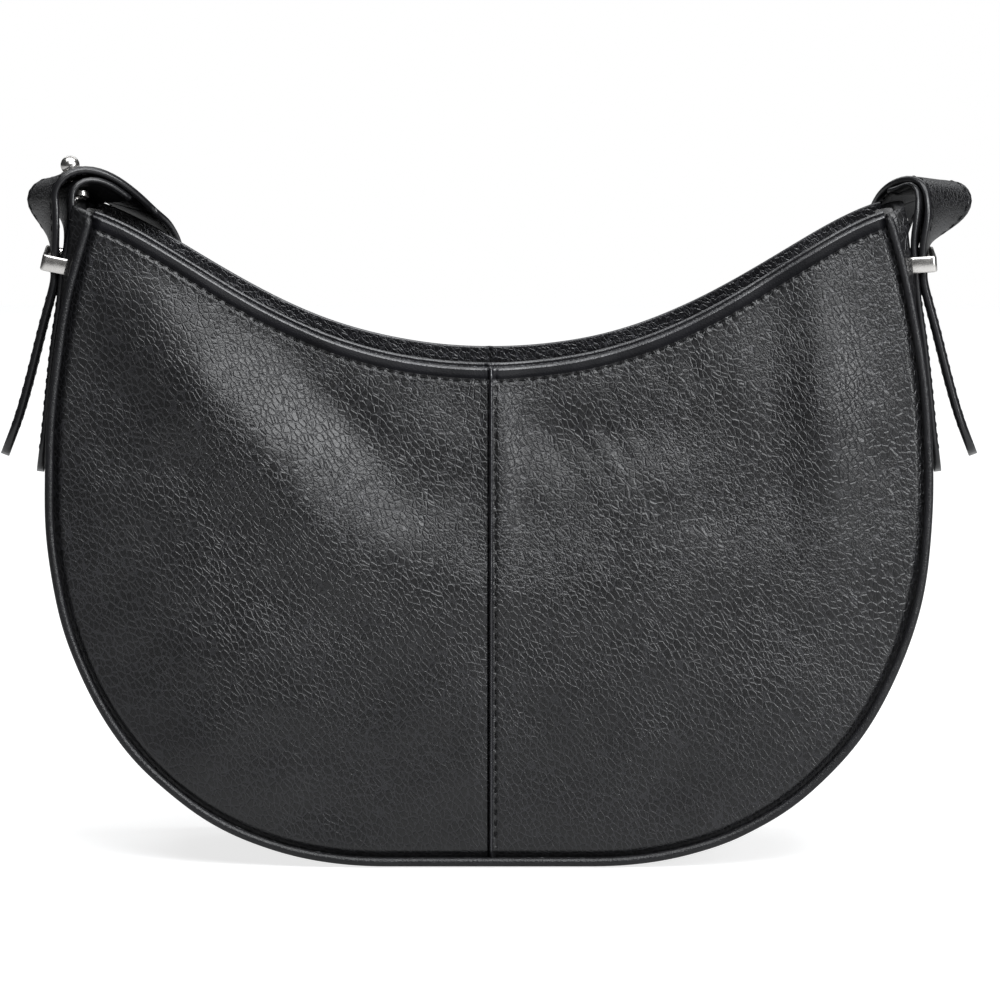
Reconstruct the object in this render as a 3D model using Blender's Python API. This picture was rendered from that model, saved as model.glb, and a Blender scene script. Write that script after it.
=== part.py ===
"""Small half-moon hobo bag in pebbled leather, built as separate pieces.

Frame: X across the bag, -Y is the front, +Z is up. The origin is the middle of the flat bottom.
Sizes are in metres. Thin layers keep a gap of 0.3 mm to the layers they lie on.
"""

import math

import bmesh
import bpy
import numpy as np
from mathutils import Vector

MM = 0.001
GAP = 0.3 * MM

# Outline of the body, seen from the front
FLAT_HALF = 28 * MM  # flat stretch of the bottom, from the middle
WIDE_HALF = 125 * MM
WIDE_Z = 106 * MM
CORNER_X = 113.6 * MM
CORNER_Z = 181.8 * MM
MOUTH_Z = 138.8 * MM
LOWER_POWER = 2.2
UPPER_POWER = 2.1
BEND_AT = 0.40  # share of the outline that counts as the lower side of a panel

# Depth of the body
DEPTH_HALF = 37 * MM  # at the bottom, to the middle of the piping
TAPER = 0.119  # loss of half depth for each metre of height
BELLY = 6.5 * MM

# Layers
LEATHER = 1.4 * MM
LINING = 0.8 * MM
PIPING_R = 1.2 * MM
PANEL_INSET = 2.8 * MM
BOARD = 1.0 * MM
FACING_T = 1.2 * MM
FACING_FROM = 0.80  # share of the panel's height where the facing starts
LINING_DEPTH = 3.2 * MM  # outer face of the lining wall, inside the plane of the piping
LINING_FACE = LINING_DEPTH + LINING  # its inner face
LINING_MARGIN = 5.2 * MM  # from the middle of the piping to the edge of the gusset's lining and board
WALL_TILT = math.atan(TAPER)

# Strap
STRAP_W = 22 * MM
STRAP_T = 2.2 * MM
TAB_T = 1.8 * MM
TAB_W = 17 * MM
RISER_X = 122.6 * MM  # strap end inside the keeper
RISER_Z0 = 163 * MM
TAIL_Z = 161.8 * MM
PIVOT_Z = {-1: 193.4 * MM, 1: 191.3 * MM}  # swing axis above each top corner
SWING_R = 14 * MM
LOOP_R = 11.5 * MM
END_CLEARANCE = 0.6 * MM  # from the strap's narrowed corners to the circle that parts it

# Keeper: across the bag, front to back, and up
KEEPER = (8.0 * MM, STRAP_W + 4.2 * MM, 4.6 * MM)
KEEPER_HOLE = (6.2 * MM, STRAP_W + 1.4 * MM, 8.0 * MM)
KEEPER_PLACE = (122.1 * MM, 0, 168.0 * MM)

# Zip pocket and magnetic snap
ZIP_Z = 88 * MM
ZIP_LENGTH = 120 * MM
TEETH = (ZIP_LENGTH, 1.4 * MM, 4.4 * MM)
TAPE = (ZIP_LENGTH + 12 * MM, 0.6 * MM, 7 * MM)
TAPE_STEP = 6.2 * MM  # middle of a tape above or below the chain
SLIDER = (9 * MM, 1.6 * MM, 7 * MM)
PULL = (6 * MM, 1.2 * MM, 24 * MM)
SNAP_R = 8 * MM
SNAP_BELOW = 15 * MM  # below the middle of the mouth


# ---------------------------------------------------------------- helpers

def clear():
    for obj in list(bpy.data.objects):
        bpy.data.objects.remove(obj)


def material(name, colour, roughness, metallic=0.0):
    mat = bpy.data.materials.get(name)
    if mat is None:
        mat = bpy.data.materials.new(name)
        mat.use_nodes = True
        bsdf = mat.node_tree.nodes["Principled BSDF"]
        bsdf.inputs["Base Color"].default_value = (*colour, 1)
        bsdf.inputs["Roughness"].default_value = roughness
        bsdf.inputs["Metallic"].default_value = metallic
    return mat


def pebbled():
    return material("pebbled_leather", (0.022, 0.022, 0.025), 0.5)


def smooth_leather():
    return material("smooth_leather", (0.018, 0.018, 0.020), 0.42)


def cloth():
    return material("lining_cloth", (0.055, 0.052, 0.050), 0.9)


def nickel():
    return material("polished_nickel", (0.78, 0.78, 0.80), 0.15, 1.0)


def finish_mesh(bm, name, mat, smooth=False):
    bmesh.ops.recalc_face_normals(bm, faces=bm.faces)
    mesh = bpy.data.meshes.new(name)
    bm.to_mesh(mesh)
    bm.free()
    if smooth:
        mesh.shade_smooth()
        mesh.set_sharp_from_angle(angle=math.radians(40))
    mesh.materials.append(mat)
    obj = bpy.data.objects.new(name, mesh)
    bpy.context.scene.collection.objects.link(obj)
    return obj


def set_origin(obj, point):
    """Moves an object's origin to a point and leaves its mesh where it is."""
    place = Vector(point)
    for vert in obj.data.vertices:
        vert.co -= place
    obj.location = place


def shell(name, outer, inner, mat):
    """A closed solid between two grids of points of the same size."""
    rows, cols = len(outer), len(outer[0])
    bm = bmesh.new()
    top = [[bm.verts.new(outer[i][j]) for j in range(cols)] for i in range(rows)]
    low = [[bm.verts.new(inner[i][j]) for j in range(cols)] for i in range(rows)]
    for i in range(rows - 1):
        for j in range(cols - 1):
            bm.faces.new((top[i][j], top[i + 1][j], top[i + 1][j + 1], top[i][j + 1]))
            bm.faces.new((low[i][j], low[i][j + 1], low[i + 1][j + 1], low[i + 1][j]))
    rim = [(i, 0) for i in range(rows)]
    rim += [(rows - 1, j) for j in range(1, cols)]
    rim += [(i, cols - 1) for i in range(rows - 2, -1, -1)]
    rim += [(0, j) for j in range(cols - 2, 0, -1)]
    for k, (i, j) in enumerate(rim):
        a, b = rim[(k + 1) % len(rim)]
        bm.faces.new((top[i][j], low[i][j], low[a][b], top[a][b]))
    return finish_mesh(bm, name, mat, smooth=True)


def disc(name, centre, direction, radius, height, mat, sides=24):
    """A round plate that starts at centre and stands up along direction."""
    bm = bmesh.new()
    bmesh.ops.create_cone(
        bm, cap_ends=True, segments=sides, radius1=radius, radius2=radius, depth=height
    )
    obj = finish_mesh(bm, name, mat, smooth=True)
    turn = Vector(direction).to_track_quat("Z", "Y")
    obj.rotation_euler = turn.to_euler()
    obj.location = Vector(centre) + Vector(direction).normalized() * (height / 2)
    return obj


def box(name, size, centre, mat, tilt=(0, 0, 0), bevel=0.0):
    bm = bmesh.new()
    bmesh.ops.create_cube(bm, size=1)
    bmesh.ops.scale(bm, verts=bm.verts, vec=size)
    if bevel:
        bmesh.ops.bevel(bm, geom=bm.edges[:], offset=bevel, segments=2, affect="EDGES")
    obj = finish_mesh(bm, name, mat)
    obj.rotation_euler = tilt
    obj.location = centre
    return obj


# ---------------------------------------------------------------- outline of the body

def resample(points, count):
    points = np.array(points)
    length = np.concatenate([[0], np.cumsum(np.linalg.norm(np.diff(points, axis=0), axis=1))])
    even = np.linspace(0, length[-1], count)
    return np.stack([np.interp(even, length, points[:, k]) for k in range(points.shape[1])], axis=1)


def right_outline(count=400):
    """Points (x, z) from the middle of the bottom up to the right top corner, evenly spaced."""
    points = [(0.0, 0.0)]
    for angle in np.linspace(0, math.pi / 2, 120):
        x = FLAT_HALF + (WIDE_HALF - FLAT_HALF) * math.sin(angle) ** (2 / LOWER_POWER)
        z = WIDE_Z * (1 - max(math.cos(angle), 0) ** (2 / LOWER_POWER))
        points.append((x, z))
    for r in np.linspace(0, 1, 60)[1:]:
        x = WIDE_HALF - (WIDE_HALF - CORNER_X) * r**UPPER_POWER
        points.append((x, WIDE_Z + (CORNER_Z - WIDE_Z) * r))
    return resample(points, count)


def outward(points):
    """Unit normals that point away from the body, for a run from the bottom to the right corner."""
    step = np.gradient(points, axis=0)
    normal = np.stack([step[:, 1], -step[:, 0]], axis=1)
    return normal / np.linalg.norm(normal, axis=1)[:, None]


def full_outline(count):
    """Evenly spaced points and normals from the left top corner round to the right one."""
    right = right_outline()
    normal = outward(right)
    both = np.concatenate([np.flip(right, 0)[:-1] * (-1, 1), right])
    both_n = np.concatenate([np.flip(normal, 0)[:-1] * (-1, 1), normal])
    data = np.concatenate([both, both_n], axis=1)
    index = np.linspace(0, len(data) - 1, count)
    return np.stack([np.interp(index, np.arange(len(data)), data[:, k]) for k in range(4)], axis=1)


def half_depth(z):
    return DEPTH_HALF - TAPER * z


def mouth_rise(r):
    """Share of the rise of the mouth's edge from its middle, r = 0, to the corner, r = 1."""
    return r * r + 1.2 * r**4 * (1 - r)


def panel_grid(inset, v0, v1, across, up, seam=GAP / 2):
    """Grid of (x, z, u, v) on the right half: u from the centre seam out, v from the bottom up."""
    outline = right_outline()
    edge = outline - outward(outline) * inset
    bend = int(BEND_AT * len(edge))
    lower, side = edge[: bend + 1], edge[bend:]
    end_x, end_z = edge[-1]

    def along(curve, t):
        index = t * (len(curve) - 1)
        return np.array([np.interp(index, np.arange(len(curve)), curve[:, k]) for k in (0, 1)])

    def top(u):
        return np.array([u * end_x, MOUTH_Z + (end_z - MOUTH_Z) * mouth_rise(u)])

    grid = []
    for u in np.linspace(0, 1, across + 1):
        column = []
        for v in np.linspace(v0, v1, up + 1):
            seam_point = np.array([0, inset + v * (MOUTH_Z - inset)])
            corners = (1 - u) * (1 - v) * lower[0] + u * (1 - v) * lower[-1]
            corners += (1 - u) * v * top(0) + u * v * top(1)
            sides = (1 - v) * along(lower, u) + v * top(u)
            sides += (1 - u) * seam_point + u * along(side, v)
            x, z = sides - corners
            column.append((max(x, seam), z, u, v))
        grid.append(column)
    return grid


def belly(u, v):
    """How far a panel swells out from the plane through its piping."""
    swell = (1 - u**2.4) * (1 - (1 - v) ** 2.4)
    return BELLY * swell * (1 - 0.72 * v**3)


def panel_layer(name, side, face, mat, depth_in, thick, v0=0.0, v1=1.0, inset=PANEL_INSET, size=(14, 12)):
    """One half of a panel or of the facing behind it; face is -1 for the front, 1 for the rear."""
    grid = panel_grid(inset, v0, v1, *size)

    def layer(offset):
        points = []
        for column in grid:
            run = []
            for x, z, u, v in column:
                y = half_depth(z) + GAP + belly(u, v) - offset
                run.append((side * x, face * y, z))
            points.append(run)
        return points

    return shell(name, layer(depth_in), layer(depth_in + thick), mat)


# ---------------------------------------------------------------- leather body

def outer_panels():
    for face, where in ((-1, "front"), (1, "rear")):
        for side, hand in ((-1, "left"), (1, "right")):
            panel_layer(f"{where}_panel_{hand}", side, face, pebbled(), 0, LEATHER)
            panel_layer(
                f"{where}_facing_{hand}", side, face, pebbled(), LEATHER + GAP, FACING_T,
                v0=FACING_FROM, size=(14, 3),
            )


def gusset_belly(z):
    """Middle of the gusset against its edges: hollow on the sides, full at the top corners."""
    hollow = -1.8 * MM * min(max((z - 40 * MM) / (50 * MM), 0), 1)
    rise = max((z - 150 * MM) / (CORNER_Z - 150 * MM), 0)
    return hollow + 5.0 * MM * rise**3.2


def gusset_layer(name, mat, depth_in, thick, margin, first=0.0, last=1.0, count=50, across=6):
    """A strip that follows the outline between the two rows of piping."""
    runs = full_outline(count + 1)
    kept = runs[int(round(first * count)): int(round(last * count)) + 1]

    def layer(offset):
        points = []
        for x, z, nx, nz in kept:
            row = []
            for w in np.linspace(-1, 1, across + 1):
                out = gusset_belly(z) * (1 - w * w) - offset
                row.append((x + nx * out, w * (half_depth(z) - margin), z + nz * out))
            points.append(row)
        return points

    return shell(name, layer(depth_in), layer(depth_in + thick), mat)


def piping(name, face):
    curve = bpy.data.curves.new(name, "CURVE")
    curve.dimensions = "3D"
    curve.bevel_depth = PIPING_R
    curve.bevel_resolution = 1
    curve.render_resolution_u = 0
    curve.use_fill_caps = True
    runs = full_outline(89)
    spline = curve.splines.new("POLY")
    spline.points.add(len(runs) - 1)
    for point, (x, z, nx, nz) in zip(spline.points, runs):
        inset = PIPING_R + 0.1 * MM
        point.co = (x - nx * inset, face * half_depth(z), z - nz * inset, 1)
    curve.materials.append(smooth_leather())
    obj = bpy.data.objects.new(name, curve)
    bpy.context.scene.collection.objects.link(obj)


def body():
    outer_panels()
    gusset_layer("gusset", pebbled(), 0, LEATHER, PIPING_R + GAP)
    piping("piping_front", -1)
    piping("piping_rear", 1)


# ---------------------------------------------------------------- inside the body

def lining_wall(name, face):
    """A flat wall of lining from the bottom up to the facing's lower edge."""
    right = panel_grid(2.4 * MM, 0.0, FACING_FROM - 0.01, 12, 9, seam=0.0)
    columns = [[(-x, z) for x, z, u, v in column] for column in reversed(right[1:])]
    columns += [[(x, z) for x, z, u, v in column] for column in right]

    def layer(offset):
        return [[(x, face * (half_depth(z) - offset), z) for x, z in column] for column in columns]

    return shell(name, layer(LINING_DEPTH), layer(LINING_FACE), cloth())


def inside():
    lining_wall("lining_front", -1)
    lining_wall("lining_rear", 1)
    under_board = LEATHER + BOARD + 2 * GAP
    gusset_layer("lining_gusset", cloth(), under_board, LINING, LINING_MARGIN, 0.04, 0.96, 50, 4)
    board = material("base_board", (0.30, 0.24, 0.17), 0.85)
    gusset_layer("base_stiffener", board, LEATHER + GAP, BOARD, LINING_MARGIN, 0.36, 0.64, 50, 4)


def plane_point(x, z, inside_by, face=1):
    """A point on the tilted plane of a lining wall, moved into the bag."""
    return Vector((x, face * (half_depth(z) - inside_by), z))


def slanted_box(name, size, x, z, inside_by, mat, face=1, bevel=0.0):
    """A box that lies parallel to a lining wall; size is (across, through the wall, up)."""
    centre = plane_point(x, z, inside_by + size[1] / 2, face)
    return box(name, size, centre, mat, (face * WALL_TILT, 0, 0), bevel)


def zip_pocket():
    tape = material("zip_tape", (0.03, 0.03, 0.032), 0.85)
    on_wall = LINING_FACE + GAP
    for where, step in (("upper", 1), ("lower", -1)):
        slanted_box(f"zip_tape_{where}", TAPE, 0, ZIP_Z + step * TAPE_STEP, on_wall, tape)
    slanted_box("zip_teeth", TEETH, 0, ZIP_Z, on_wall, nickel())
    start = -ZIP_LENGTH / 2 + 6 * MM
    on_teeth = on_wall + TEETH[1] + GAP
    slanted_box("zip_slider", SLIDER, start, ZIP_Z, on_teeth, nickel(), bevel=0.4 * MM)
    on_slider = on_teeth + SLIDER[1] + GAP
    pull = slanted_box(
        "zip_pull", PULL, start, ZIP_Z - PULL[2] / 2, on_slider, nickel(), bevel=0.3 * MM
    )
    set_axis_origin(pull, plane_point(start, ZIP_Z, on_slider + PULL[1] / 2))
    slanted_box("zip_pocket_pouch", (136 * MM, 1.2 * MM, 74 * MM), 0, 62 * MM, 1.6 * MM, cloth())
    slanted_box("slip_pocket", (120 * MM, 0.9 * MM, 62 * MM), 0, 58 * MM, on_wall, cloth(), -1)


def set_axis_origin(obj, point):
    """Moves the origin of a turned object to a point in world space."""
    bpy.context.view_layer.update()
    here = obj.matrix_world.inverted() @ Vector(point)
    for vert in obj.data.vertices:
        vert.co -= here
    obj.location = point


def magnets():
    """The two halves of the magnetic snap, on the facings below the middle of the mouth."""
    z = MOUTH_Z - SNAP_BELOW
    v = (z - PANEL_INSET) / (MOUTH_Z - PANEL_INSET)
    skin = half_depth(z) + belly(0, v) - LEATHER - FACING_T
    lean = TAPER + 0.13  # the facing leans in more than the wall, because the belly ends here
    for face, where, height in ((-1, "front", 3.0 * MM), (1, "rear", 2.2 * MM)):
        seat = (0, face * (skin - 0.9 * MM), z)
        disc(f"magnetic_snap_{where}", seat, (0, -face, -lean), SNAP_R, height, nickel())


# ---------------------------------------------------------------- strap

# Routes in millimetres and degrees: x, y, z, then how far the width turns away from Y about Z, and how
# far its rear edge dips. Each runs from the swing joint over the bend, past the top corner and down
# behind the bag, and both meet at the lowest point of the hanging loop.
LEFT_ROUTE = [
    (-124.8, 0.4, 181.2, 19, 3), (-126.3, 0.8, 185.4, 28, 9), (-123.4, 1.4, 188.9, 28, 15),
    (-118.0, 2.4, 190.3, 27, 17), (-111.5, 4.8, 189.0, 27, 15), (-105.8, 8.2, 185.8, 27, 9),
    (-101.3, 13.5, 181.4, 27, 4), (-97.8, 21, 177.4, 29, 0), (-94.5, 29, 171.0, 30, 0),
    (-89.5, 36.5, 157, 26, 0), (-78, 44.5, 130, 20, 0), (-62, 51, 90, 12, 0), (-40, 55.5, 52, 8, 0),
]
RIGHT_ROUTE = [
    (127.4, 0.5, 178.6, -26, 2), (129.0, 1.2, 182.2, -36, 4), (128.6, 3.2, 185.2, -40, 7),
    (126.0, 7.0, 186.5, -41, 9), (122.8, 11.2, 186.2, -41, 8), (120.0, 16.6, 184.7, -40, 6),
    (117.7, 23.3, 182.3, -38, 3), (115.4, 30.0, 177, -34, 0), (110.5, 34.5, 162.5, -30, 0),
    (98, 41, 138, -24, 0), (82, 46.5, 112, -18, 0), (62, 51.5, 82, -12, 0), (40, 55.5, 52, -8, 0),
]
LOW_ROUTE = [(-20, 57.6, 32, 4, 0), (0, 58, 26, 0, 0), (20, 57.6, 32, -4, 0)]
FINE_END = 50 * MM  # closer sections over this length at each end


def smooth_path(points, spacing, near_ends=0.0, fine=0.0):
    """A smooth curve through the points, sampled at a spacing that may be finer near its ends."""
    pts = [np.array(p, float) for p in points]
    pts = [pts[0] * 2 - pts[1]] + pts + [pts[-1] * 2 - pts[-2]]
    dense = []
    for k in range(1, len(pts) - 2):
        a, b, c, d = pts[k - 1: k + 3]
        for s in np.linspace(0, 1, 24, endpoint=False):
            dense.append(0.5 * (2 * b + (c - a) * s + (2 * a - 5 * b + 4 * c - d) * s * s
                                + (3 * b - a - 3 * c + d) * s**3))
    dense.append(pts[-2])
    dense = np.array(dense)
    dense[:, :3] *= MM
    steps = np.linalg.norm(np.diff(dense[:, :3], axis=0), axis=1)
    length = np.concatenate([[0], np.cumsum(steps)])
    total = length[-1]
    if near_ends:
        ends = np.linspace(0, near_ends, int(near_ends / fine) + 1)
        middle = np.linspace(near_ends, total - near_ends, int((total - 2 * near_ends) / spacing) + 1)
        places = np.concatenate([ends[:-1], middle, (total - ends[::-1])[1:]])
    else:
        places = np.linspace(0, total, int(total / spacing) + 1)
    return [[np.interp(x, length, dense[:, k]) for k in range(dense.shape[1])] for x in places]


def frames(path):
    """Centre, width direction and face direction at each point of a path."""
    found = []
    for k, (x, y, z, yaw, dip) in enumerate(path):
        ahead = Vector(path[min(k + 1, len(path) - 1)][:3]) - Vector(path[max(k - 1, 0)][:3])
        ahead.normalize()
        yaw, dip = math.radians(yaw), math.radians(dip)
        across = Vector((-math.sin(yaw) * math.cos(dip), math.cos(yaw) * math.cos(dip), -math.sin(dip)))
        across = (across - ahead * across.dot(ahead)).normalized()
        found.append((Vector((x, y, z)), across, ahead.cross(across).normalized()))
    return found


def ribbon(name, framed, thick, mat, widths, shifts=None):
    """A strip with a section at each frame; shifts move the layer along its face direction."""
    bm = bmesh.new()
    rings = []
    for k, (centre, across, face) in enumerate(framed):
        middle = centre + face * (shifts[k] if shifts else 0)
        half_w, half_t = across * (widths[k] / 2), face * (thick / 2)
        corners = (middle - half_w - half_t, middle + half_w - half_t)
        corners += (middle + half_w + half_t, middle - half_w + half_t)
        rings.append([bm.verts.new(p) for p in corners])
    for a, b in zip(rings, rings[1:]):
        for k in range(4):
            bm.faces.new((a[k], a[(k + 1) % 4], b[(k + 1) % 4], b[k]))
    bm.faces.new(rings[0])
    bm.faces.new(rings[-1])
    bmesh.ops.triangulate(bm, faces=bm.faces)
    return finish_mesh(bm, name, mat)


def swing_width(frame, radius, full):
    """Width whose corners stay inside the swing circle below the axis, so moving and fixed ends clear."""
    centre, across, face = frame
    side = 1 if centre.x > 0 else -1
    if centre.z > PIVOT_Z[side] or abs(centre.x) < 118 * MM or centre.y > 5 * MM:
        return full
    width = full
    while width > 4 * MM:
        corners = [centre + across * (sign * width / 2) for sign in (-1, 1)]
        if all(math.hypot(p.y, p.z - PIVOT_Z[side]) < radius for p in corners):
            break
        width -= 0.5 * MM
    return width


def subtract(obj, cutter):
    mod = obj.modifiers.new("cut", "BOOLEAN")
    mod.operation = "DIFFERENCE"
    mod.object = cutter
    cutter.hide_render = True
    cutter.display_type = "WIRE"


def drum(name, side, radius):
    """A cylinder on the swing axis, over one top corner, used to part fixed and moving leather."""
    bm = bmesh.new()
    bmesh.ops.create_cone(
        bm, cap_ends=True, segments=48, radius1=radius, radius2=radius, depth=60 * MM
    )
    obj = finish_mesh(bm, name, nickel())
    obj.rotation_euler = (0, math.pi / 2, 0)
    obj.location = (side * 118 * MM, 0, PIVOT_Z[side])
    return obj


def strap_frames():
    points = LEFT_ROUTE + LOW_ROUTE + RIGHT_ROUTE[::-1]
    return frames(smooth_path(points, 9 * MM, FINE_END, 2 * MM))


def shoulder_strap(framed):
    widths = [swing_width(frame, SWING_R - END_CLEARANCE, STRAP_W) for frame in framed]
    return ribbon("shoulder_strap", framed, STRAP_T, smooth_leather(), widths)


def tab_loop(framed, hand):
    """Top of the inner tab, which lies under the strap's bend and moves with it."""
    widths = [swing_width(frame, LOOP_R - END_CLEARANCE, TAB_W) for frame in framed]
    under = -(STRAP_T / 2 + GAP + TAB_T / 2)
    shifts = [under] * len(framed)
    return ribbon(f"tab_loop_{hand}", framed, TAB_T, smooth_leather(), widths, shifts)


def straight(name, points, thick, width=STRAP_W):
    framed = frames(smooth_path(points, 4 * MM))
    return ribbon(name, framed, thick, smooth_leather(), [width] * len(framed))


def side_pieces(side, hand):
    """Tab, strap end, tail and keeper on one side of the bag."""
    riser = RISER_X / MM

    def upright(*places):
        """Route points above the bag's end, each (x, z, turn of the width)."""
        return [(side * x, 0, z, -side * turn, 0) for x, z, turn in places]

    foot = upright((127.2, 108, 0), (125.4, 120, 0), (124.3, 132, 0), (122.8, 145, 0))
    top = {-1: (118.5, 183.5, 0), 1: (118.9, 180.6, 0)}[side]
    neck = upright((121.1, 156, 0), (120.3, 164, 0), (120.1, 172, 0), (119.0, 179, 0), top)
    tab = straight(f"strap_tab_{hand}", foot + neck, TAB_T)
    flare = {
        -1: ((122.8, 173, 3), (123.9, 178.3, 14), (125.4, 183.5, 22)),
        1: ((123.4, 172.5, 6), (126.2, 176.6, 20), (128.8, 181.5, 34)),
    }[side]
    in_keeper = upright((riser, RISER_Z0 / MM, 0), (riser, 168, 0), *flare)
    end = straight(f"strap_end_{hand}", in_keeper, STRAP_T)
    hanging = ((riser, TAIL_Z / MM, 0), (126.2, 149, 0), (130.4, 133, 0), (133.4, 123, 0), (137, 112.5, 0))
    tail = straight(f"strap_tail_{hand}", upright(*hanging), STRAP_T)
    set_origin(tail, (side * RISER_X, 0, TAIL_Z))
    keeper(f"keeper_{hand}", side)
    subtract(tab, drum(f"tab_part_{hand}", side, LOOP_R + GAP))
    subtract(end, drum(f"end_part_{hand}", side, SWING_R + GAP))


def keeper(name, side):
    """A flat metal loop round the tab and the strap end."""
    place = Vector(KEEPER_PLACE) * Vector((side, 1, 1))
    ring = box(name, KEEPER, place, nickel(), bevel=0.35 * MM)
    hole = box(name + "_hole", KEEPER_HOLE, place, nickel())
    subtract(ring, hole)


def stud(frame, layers, hand, pierced):
    """Ball stud through the leather at one frame, with its screw from below; layers is their depth."""
    centre, across, face = frame
    seat = centre + face * (STRAP_T / 2 + 2 * GAP)
    hole = disc(f"stud_hole_{hand}", seat - face * 9 * MM, face, 1.6 * MM, 16 * MM, nickel(), 16)
    for piece in pierced:
        subtract(piece, hole)
    bm = bmesh.new()
    profile = [(0, -layers - 0.5), (1.2, -layers - 0.5), (1.2, 0), (2.6, 0), (2.6, 0.4), (1.3, 0.6)]
    profile += [(1.9, 0.9), (2.7, 2.0), (2.7, 2.9), (2.0, 4.4), (1.0, 5.1), (0, 5.3)]
    verts = [bm.verts.new((r * MM, 0, h * MM)) for r, h in profile]
    edges = [bm.edges.new(pair) for pair in zip(verts, verts[1:])]
    bmesh.ops.spin(
        bm, geom=verts + edges, cent=(0, 0, 0), axis=(0, 0, 1), angle=2 * math.pi, steps=16,
        use_merge=True,
    )
    bmesh.ops.remove_doubles(bm, verts=bm.verts, dist=1e-6)
    ball = finish_mesh(bm, f"ball_stud_{hand}", nickel(), smooth=True)
    ball.rotation_euler = face.to_track_quat("Z", "Y").to_euler()
    ball.location = seat
    under = seat - face * (layers + 0.5 + GAP / MM + 1.8) * MM
    disc(f"stud_screw_{hand}", under, face, 2.8 * MM, 1.8 * MM, nickel(), 16)


def carrying():
    framed = strap_frames()
    strap = shoulder_strap(framed)
    left_loop = tab_loop(framed[4:15], "left")
    tab_loop(framed[::-1][4:12], "right")
    both = (STRAP_T + TAB_T) / MM + 3 * GAP / MM
    stud(framed[8], both, "left", (strap, left_loop))
    stud(framed[::-1][21], STRAP_T / MM + 2 * GAP / MM, "right", (strap,))
    for side, hand in ((-1, "left"), (1, "right")):
        side_pieces(side, hand)
    set_origin(strap, (0, 0, (PIVOT_Z[-1] + PIVOT_Z[1]) / 2))


clear()
body()
inside()
zip_pocket()
magnets()
carrying()
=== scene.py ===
"""Looks of the half-moon hobo bag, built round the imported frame."""

import math

import bpy
import numpy as np
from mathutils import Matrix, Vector


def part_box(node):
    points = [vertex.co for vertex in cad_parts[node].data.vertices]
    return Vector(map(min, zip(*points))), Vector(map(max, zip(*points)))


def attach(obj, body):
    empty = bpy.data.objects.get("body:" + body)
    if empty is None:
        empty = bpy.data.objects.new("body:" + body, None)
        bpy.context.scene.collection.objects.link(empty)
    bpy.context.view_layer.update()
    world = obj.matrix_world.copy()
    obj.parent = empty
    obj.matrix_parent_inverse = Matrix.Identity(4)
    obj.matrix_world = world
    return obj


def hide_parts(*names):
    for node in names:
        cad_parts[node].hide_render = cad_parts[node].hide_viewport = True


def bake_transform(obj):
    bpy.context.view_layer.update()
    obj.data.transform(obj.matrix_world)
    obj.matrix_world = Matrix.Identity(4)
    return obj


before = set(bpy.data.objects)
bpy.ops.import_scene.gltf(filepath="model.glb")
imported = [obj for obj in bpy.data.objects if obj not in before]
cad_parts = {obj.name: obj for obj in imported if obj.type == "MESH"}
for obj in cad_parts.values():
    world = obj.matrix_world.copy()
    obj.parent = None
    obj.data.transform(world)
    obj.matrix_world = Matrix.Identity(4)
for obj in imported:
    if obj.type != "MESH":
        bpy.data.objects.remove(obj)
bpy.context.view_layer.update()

MM = 0.001
SIDES = ((-1, "left"), (1, "right"))
WALLS = ((-1, "front"), (1, "rear"))

# ---------------------------------------------------------------- sizes, the same as the part's

WIDE_HALF = 125 * MM
WIDE_Z = 106 * MM
FLAT_HALF = 28 * MM
CORNER_X = 113.6 * MM
CORNER_Z = 181.8 * MM
MOUTH_Z = 138.8 * MM
DEPTH_HALF = 37 * MM
TAPER = 0.119
BELLY = 6.5 * MM
LOWER_POWER = 2.2
UPPER_POWER = 2.1
BEND_AT = 0.40

PIPING_R = 1.25 * MM
PANEL_INSET = 2.3 * MM
PANEL_LIFT = 0.3 * MM  # panel's outer face in front of the middle of the piping
PANEL_T = 1.4 * MM
FACING_IN = 1.9 * MM  # outer face of the facing behind the panel's
FACING_T = 1.1 * MM
FACING_FROM = 0.80
STITCH = 3.1 * MM
THREAD_R = 0.26 * MM
OVERLAP = 0.05 * MM  # halves reach a little over the middle, so that no light shows between them

STRAP_W = 22 * MM
STRAP_T = 2.2 * MM
TAB_T = 1.8 * MM
EDGE_LINE = 2.1 * MM  # stitch lines of the strap, tabs and tails, in from their edges


# ---------------------------------------------------------------- mesh helpers

def add_object(name, mesh, mats):
    for mat in mats:
        mesh.materials.append(mat)
    obj = bpy.data.objects.new(name, mesh)
    bpy.context.scene.collection.objects.link(obj)
    return obj


def mesh_object(name, points, faces, mats, face_mats=None):
    """A smooth mesh from an array of points and a list of faces."""
    mesh = bpy.data.meshes.new(name)
    mesh.from_pydata(np.asarray(points).tolist(), [], [tuple(int(i) for i in f) for f in faces])
    mesh.shade_smooth()
    if face_mats is not None:
        mesh.polygons.foreach_set("material_index", np.asarray(face_mats, np.int32))
    mesh.validate()
    return add_object(name, mesh, mats)


def grid_faces(rows, cols, start=0, wrap=False, loop=False, flip=False):
    """Quads of a grid of rows x cols points; wrap joins the last column to the first, loop the last row."""
    faces = []
    for i in range(rows if loop else rows - 1):
        for j in range(cols if wrap else cols - 1):
            m, k = (i + 1) % rows, (j + 1) % cols
            quad = (i * cols + j, m * cols + j, m * cols + k, i * cols + k)
            faces.append(tuple(start + n for n in (quad[::-1] if flip else quad)))
    return faces


def tube_faces(rows, cols, start=0, flip=False):
    """Faces of a closed tube of rows x cols points: its side and both ends."""
    first = tuple(start + k for k in range(cols))
    last = tuple(start + rows * cols - 1 - k for k in range(cols))
    ends = [first[::-1], last[::-1]] if flip else [first, last]
    return grid_faces(rows, cols, start, wrap=True, flip=flip) + ends


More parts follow.
